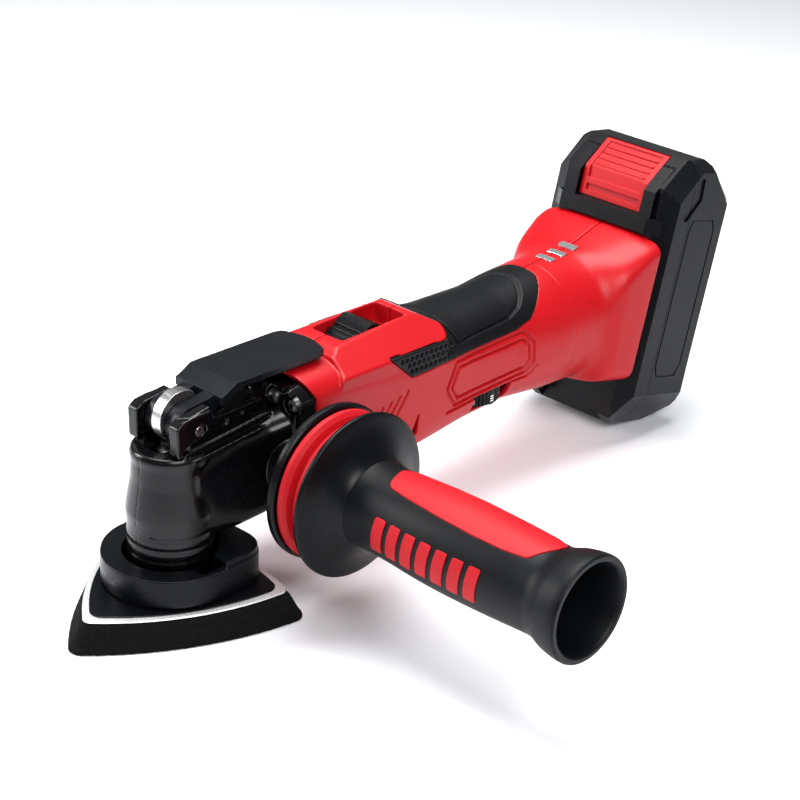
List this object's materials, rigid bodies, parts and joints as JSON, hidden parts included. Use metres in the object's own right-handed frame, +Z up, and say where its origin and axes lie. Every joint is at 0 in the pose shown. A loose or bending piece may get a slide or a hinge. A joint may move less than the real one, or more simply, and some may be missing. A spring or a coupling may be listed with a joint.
{
  "type": "oscillating multi-tool",
  "caption": "Cordless oscillating multi-tool with a delta sanding pad, quick-release clamp lever, side handle and slide-on battery.",
  "frame": {"origin": "centre of the sanding pad's lower face, on the spindle axis", "axes": "+X from the spindle towards the battery, -Y towards the side handle, +Z up along the spindle"},
  "size_m": [0.3689, 0.2233, 0.1309],
  "materials": {
    "foam": "open-cell foam with a ragged cut edge",
    "pad_metal": "bright rolled sheet",
    "black_plastic": "fine satin moulding",
    "cast_black": "die casting under thick glossy black paint",
    "lever_black": "satin powder coat",
    "steel": "ground bright steel",
    "dark_steel": "blackened steel",
    "copper": "copper windings and contacts",
    "red_plastic": "satin red moulding with a fine spark texture",
    "rubber_black": "soft matt overmould",
    "window": "clear lens over white",
    "board": "green laminate",
    "cell": "sleeved cell"
  },
  "bodies": {
    "root": {"dust_collar": "black_plastic", "flange_screw_right_1": "dark_steel", "flange_screw_left_1": "dark_steel", "flange_screw_right_2": "dark_steel", "flange_screw_left_2": "dark_steel", "gear_head": "cast_black", "spindle_bearing_lower": "steel", "spindle_bearing_upper": "steel", "shaft_bearing_front": "steel", "shaft_bearing_rear": "steel", "motor_can": "dark_steel", "motor_end_cap": "black_plastic", "brush_right": "dark_steel", "brush_left": "dark_steel", "housing_right": "red_plastic", "housing_left": "red_plastic", "grip_overmould": "rubber_black", "housing_screw_1": "dark_steel", "housing_screw_2": "dark_steel", "housing_screw_3": "dark_steel", "light_window_1": "window", "light_window_2": "window", "light_window_3": "window", "switch_board": "board", "control_board": "board", "battery_rail": "black_plastic", "terminal_blade_right": "copper", "terminal_blade_left": "copper"},
    "lever": {"lever": "lever_black", "lever_cam": "steel", "lever_pin": "steel"},
    "rotor": {"motor_shaft": "steel", "eccentric_bearing": "steel", "rotor_stack": "copper", "commutator": "copper", "cooling_fan": "black_plastic"},
    "spindle": {"pad_foam": "foam", "pad_plate": "pad_metal", "pad_base": "black_plastic", "spindle": "steel", "drive_fork": "dark_steel"},
    "clamp": {"clamp_rod": "steel", "clamp_spring": "steel"},
    "switch": {"switch_slider": "black_plastic"},
    "dial": {"speed_dial": "black_plastic"},
    "battery": {"battery_cover": "black_plastic", "battery_case": "black_plastic", "battery_cell_1": "cell", "battery_cell_2": "cell", "battery_cell_3": "cell", "battery_cell_4": "cell", "battery_cell_5": "cell", "battery_board": "board"},
    "latch": {"battery_latch": "red_plastic"},
    "handle": {"handle_stud": "steel", "handle_disc": "black_plastic", "handle_bellows": "red_plastic", "handle_guard": "black_plastic", "handle_grip": "rubber_black", "handle_inlay": "red_plastic"}
  },
  "joints": [
    {"name": "lever_open", "type": "hinge", "parent": "root", "child": "lever", "pos_m": [0.003, 0, 0.0807], "axis": [0, -1, 0], "range_deg": [0, 110]},
    {"name": "spindle_swing", "type": "hinge", "parent": "root", "child": "spindle", "pos_m": [0, 0, 0], "axis": [0, 0, 1], "range_deg": [-1.6, 1.6]},
    {"name": "clamp_drop", "type": "slide", "parent": "spindle", "child": "clamp", "axis": [0, 0, -1], "range_m": [0, 0.0035], "deforming": ["clamp_spring"]},
    {"name": "motor_spin", "type": "hinge", "parent": "root", "child": "rotor", "pos_m": [0.1, 0, 0.0615], "axis": [1, 0, 0], "continuous": true},
    {"name": "switch_slide", "type": "slide", "parent": "root", "child": "switch", "axis": [1, 0, 0], "range_m": [-0.0042, 0]},
    {"name": "dial_turn", "type": "hinge", "parent": "root", "child": "dial", "pos_m": [0.1642, -0.011, 0.048], "axis": [0, 0, 1], "range_deg": [-30, 210]},
    {"name": "battery_slide", "type": "slide", "parent": "root", "child": "battery", "axis": [0.2334, 0, 0.9724], "range_m": [0, 0.06]},
    {"name": "latch_press", "type": "slide", "parent": "battery", "child": "latch", "axis": [0.9724, 0, -0.2334], "range_m": [0, 0.0024], "stiffness_N_per_m": 900, "springref_m": -0.001},
    {"name": "handle_unscrew", "type": "slide", "parent": "root", "child": "handle", "axis": [0, -1, 0], "range_m": [0, 0.014]}
  ],
  "couplings": [
    {"joint": "clamp_drop", "follows": "lever_open", "m_per_rad": 0.001823}
  ]
}
